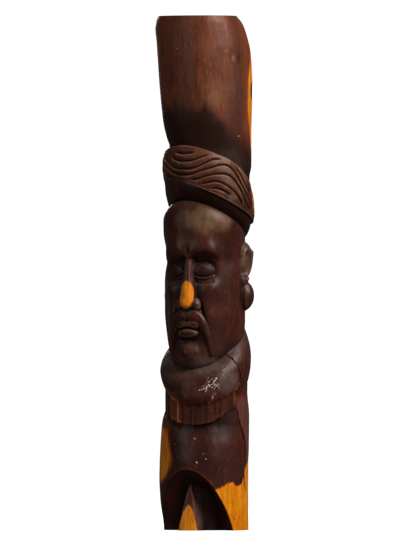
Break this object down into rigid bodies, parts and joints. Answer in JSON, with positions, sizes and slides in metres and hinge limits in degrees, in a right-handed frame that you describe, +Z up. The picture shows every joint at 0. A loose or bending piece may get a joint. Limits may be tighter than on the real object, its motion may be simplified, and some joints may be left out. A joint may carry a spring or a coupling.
{
  "type": "carved house post",
  "caption": "Standing length of a carved wooden house post: plain shaft over a cap with wave grooves, a head with a fringed beard, and an arched niche at its foot.",
  "frame": {"origin": "middle of the lower saw cut, on the trunk's axis", "axes": "+Z up along the trunk, -Y the way the carved face looks, +X towards the face's own left ear"},
  "size_m": [0.1927, 0.1923, 1],
  "materials": {
    "wood": "satin"
  },
  "bodies": {
    "root": {"carved_post": "wood"}
  },
  "joints": []
}
